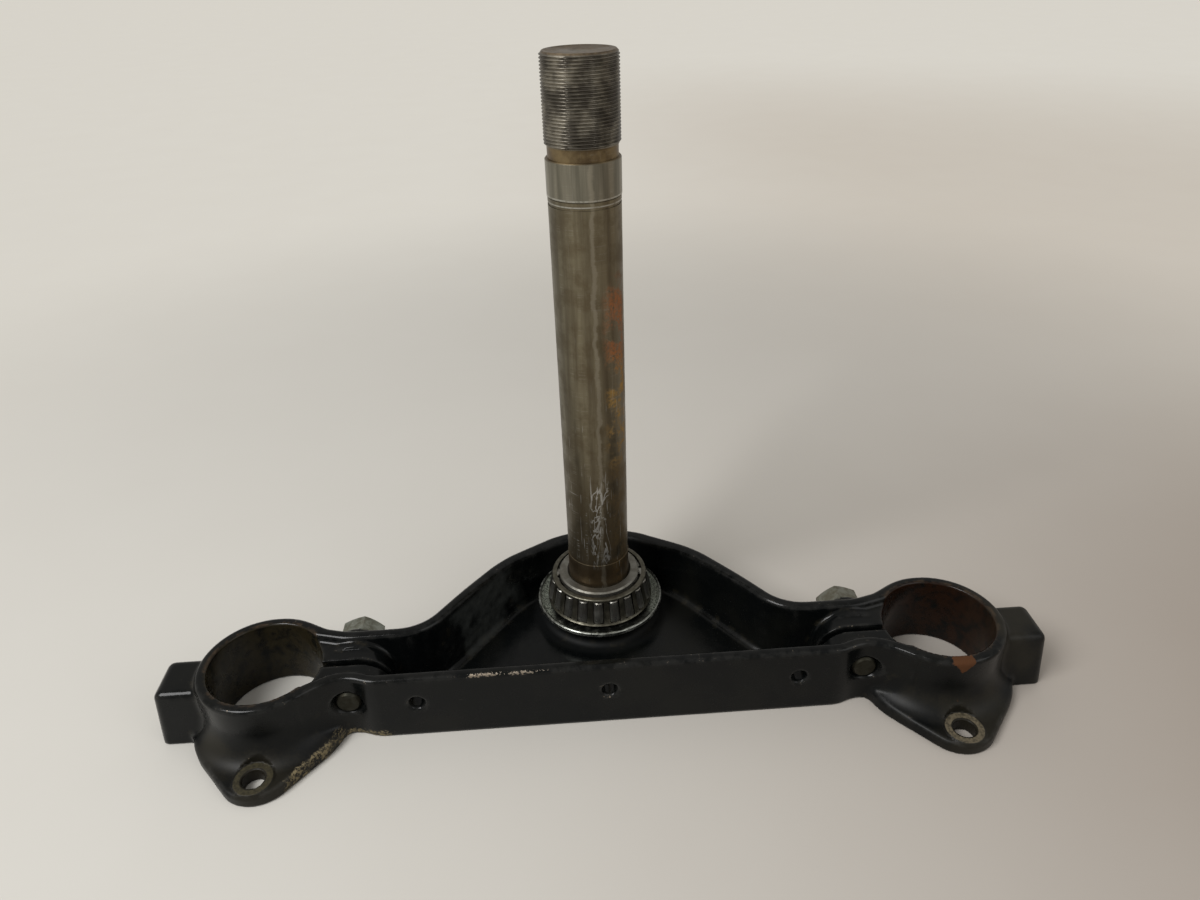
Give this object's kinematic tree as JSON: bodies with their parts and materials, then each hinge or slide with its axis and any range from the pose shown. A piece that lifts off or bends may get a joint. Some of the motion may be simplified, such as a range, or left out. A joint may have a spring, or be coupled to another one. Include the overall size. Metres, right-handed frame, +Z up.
{
  "type": "motorcycle lower triple clamp with steering stem",
  "caption": "Black lower fork bracket with a clamp bore at each end, a threaded steel steering stem and its lower tapered roller bearing.",
  "frame": {"origin": "on the steering stem's axis, in the plane of the bracket's underside", "axes": "+Z up along the steering stem, +X across the bracket to the side, -Y towards the fork tubes and the flat front face"},
  "size_m": [0.343, 0.1219, 0.2304],
  "materials": {
    "black_paint": "worn gloss black paint over cast steel",
    "stem_steel": "turned bare steel, oily with light rust",
    "zinc_plate": "zinc plated sheet, greasy",
    "bearing_steel": "ground bearing steel",
    "cage_steel": "pressed sheet steel, oily",
    "bolt_zinc": "dull worn zinc"
  },
  "bodies": {
    "bracket_and_stem": {"lower_bracket": "black_paint", "steering_stem": "stem_steel", "dust_shield": "zinc_plate", "bearing_cone": "bearing_steel", "pinch_bolt_left": "bolt_zinc", "pinch_bolt_right": "bolt_zinc", "lock_washer_left": "bolt_zinc", "lock_washer_right": "bolt_zinc"},
    "cage": {"bearing_cage": "cage_steel"},
    "roller_01": {"roller_01": "bearing_steel"},
    "roller_02": {"roller_02": "bearing_steel"},
    "roller_03": {"roller_03": "bearing_steel"},
    "roller_04": {"roller_04": "bearing_steel"},
    "roller_05": {"roller_05": "bearing_steel"},
    "roller_06": {"roller_06": "bearing_steel"},
    "roller_07": {"roller_07": "bearing_steel"},
    "roller_08": {"roller_08": "bearing_steel"},
    "roller_09": {"roller_09": "bearing_steel"},
    "roller_10": {"roller_10": "bearing_steel"},
    "roller_11": {"roller_11": "bearing_steel"},
    "roller_12": {"roller_12": "bearing_steel"},
    "roller_13": {"roller_13": "bearing_steel"},
    "roller_14": {"roller_14": "bearing_steel"},
    "roller_15": {"roller_15": "bearing_steel"},
    "roller_16": {"roller_16": "bearing_steel"},
    "roller_17": {"roller_17": "bearing_steel"},
    "roller_18": {"roller_18": "bearing_steel"},
    "roller_19": {"roller_19": "bearing_steel"}
  },
  "joints": [
    {"name": "cage_spin", "type": "hinge", "parent": "bracket_and_stem", "child": "cage", "pos_m": [0, 0, 0.0184], "axis": [0, 0, 1], "continuous": true},
    {"name": "roller_01_spin", "type": "hinge", "parent": "cage", "child": "roller_01", "pos_m": [0.0191, 0, 0.0184], "axis": [-0.1908, 0, 0.9816], "continuous": true},
    {"name": "roller_02_spin", "type": "hinge", "parent": "cage", "child": "roller_02", "pos_m": [0.01807, 0.0062, 0.0184], "axis": [-0.1805, -0.062, 0.9816], "continuous": true},
    {"name": "roller_03_spin", "type": "hinge", "parent": "cage", "child": "roller_03", "pos_m": [0.01507, 0.01173, 0.0184], "axis": [-0.1506, -0.1172, 0.9816], "continuous": true},
    {"name": "roller_04_spin", "type": "hinge", "parent": "cage", "child": "roller_04", "pos_m": [0.01045, 0.01599, 0.0184], "axis": [-0.1044, -0.1597, 0.9816], "continuous": true},
    {"name": "roller_05_spin", "type": "hinge", "parent": "cage", "child": "roller_05", "pos_m": [0.00469, 0.01852, 0.0184], "axis": [-0.0468, -0.185, 0.9816], "continuous": true},
    {"name": "roller_06_spin", "type": "hinge", "parent": "cage", "child": "roller_06", "pos_m": [-0.00158, 0.01903, 0.0184], "axis": [0.0158, -0.1902, 0.9816], "continuous": true},
    {"name": "roller_07_spin", "type": "hinge", "parent": "cage", "child": "roller_07", "pos_m": [-0.00767, 0.01749, 0.0184], "axis": [0.0766, -0.1747, 0.9816], "continuous": true},
    {"name": "roller_08_spin", "type": "hinge", "parent": "cage", "child": "roller_08", "pos_m": [-0.01294, 0.01405, 0.0184], "axis": [0.1292, -0.1404, 0.9816], "continuous": true},
    {"name": "roller_09_spin", "type": "hinge", "parent": "cage", "child": "roller_09", "pos_m": [-0.0168, 0.00909, 0.0184], "axis": [0.1678, -0.0908, 0.9816], "continuous": true},
    {"name": "roller_10_spin", "type": "hinge", "parent": "cage", "child": "roller_10", "pos_m": [-0.01884, 0.00314, 0.0184], "axis": [0.1882, -0.0314, 0.9816], "continuous": true},
    {"name": "roller_11_spin", "type": "hinge", "parent": "cage", "child": "roller_11", "pos_m": [-0.01884, -0.00314, 0.0184], "axis": [0.1882, 0.0314, 0.9816], "continuous": true},
    {"name": "roller_12_spin", "type": "hinge", "parent": "cage", "child": "roller_12", "pos_m": [-0.0168, -0.00909, 0.0184], "axis": [0.1678, 0.0908, 0.9816], "continuous": true},
    {"name": "roller_13_spin", "type": "hinge", "parent": "cage", "child": "roller_13", "pos_m": [-0.01294, -0.01405, 0.0184], "axis": [0.1292, 0.1404, 0.9816], "continuous": true},
    {"name": "roller_14_spin", "type": "hinge", "parent": "cage", "child": "roller_14", "pos_m": [-0.00767, -0.01749, 0.0184], "axis": [0.0766, 0.1747, 0.9816], "continuous": true},
    {"name": "roller_15_spin", "type": "hinge", "parent": "cage", "child": "roller_15", "pos_m": [-0.00158, -0.01903, 0.0184], "axis": [0.0158, 0.1902, 0.9816], "continuous": true},
    {"name": "roller_16_spin", "type": "hinge", "parent": "cage", "child": "roller_16", "pos_m": [0.00469, -0.01852, 0.0184], "axis": [-0.0468, 0.185, 0.9816], "continuous": true},
    {"name": "roller_17_spin", "type": "hinge", "parent": "cage", "child": "roller_17", "pos_m": [0.01045, -0.01599, 0.0184], "axis": [-0.1044, 0.1597, 0.9816], "continuous": true},
    {"name": "roller_18_spin", "type": "hinge", "parent": "cage", "child": "roller_18", "pos_m": [0.01507, -0.01173, 0.0184], "axis": [-0.1506, 0.1172, 0.9816], "continuous": true},
    {"name": "roller_19_spin", "type": "hinge", "parent": "cage", "child": "roller_19", "pos_m": [0.01807, -0.0062, 0.0184], "axis": [-0.1805, 0.062, 0.9816], "continuous": true}
  ],
  "couplings": [
    {"joint": "roller_01_spin", "follows": "cage_spin", "ratio": 6.858},
    {"joint": "roller_02_spin", "follows": "cage_spin", "ratio": 6.858},
    {"joint": "roller_03_spin", "follows": "cage_spin", "ratio": 6.858},
    {"joint": "roller_04_spin", "follows": "cage_spin", "ratio": 6.858},
    {"joint": "roller_05_spin", "follows": "cage_spin", "ratio": 6.858},
    {"joint": "roller_06_spin", "follows": "cage_spin", "ratio": 6.858},
    {"joint": "roller_07_spin", "follows": "cage_spin", "ratio": 6.858},
    {"joint": "roller_08_spin", "follows": "cage_spin", "ratio": 6.858},
    {"joint": "roller_09_spin", "follows": "cage_spin", "ratio": 6.858},
    {"joint": "roller_10_spin", "follows": "cage_spin", "ratio": 6.858},
    {"joint": "roller_11_spin", "follows": "cage_spin", "ratio": 6.858},
    {"joint": "roller_12_spin", "follows": "cage_spin", "ratio": 6.858},
    {"joint": "roller_13_spin", "follows": "cage_spin", "ratio": 6.858},
    {"joint": "roller_14_spin", "follows": "cage_spin", "ratio": 6.858},
    {"joint": "roller_15_spin", "follows": "cage_spin", "ratio": 6.858},
    {"joint": "roller_16_spin", "follows": "cage_spin", "ratio": 6.858},
    {"joint": "roller_17_spin", "follows": "cage_spin", "ratio": 6.858},
    {"joint": "roller_18_spin", "follows": "cage_spin", "ratio": 6.858},
    {"joint": "roller_19_spin", "follows": "cage_spin", "ratio": 6.858}
  ]
}
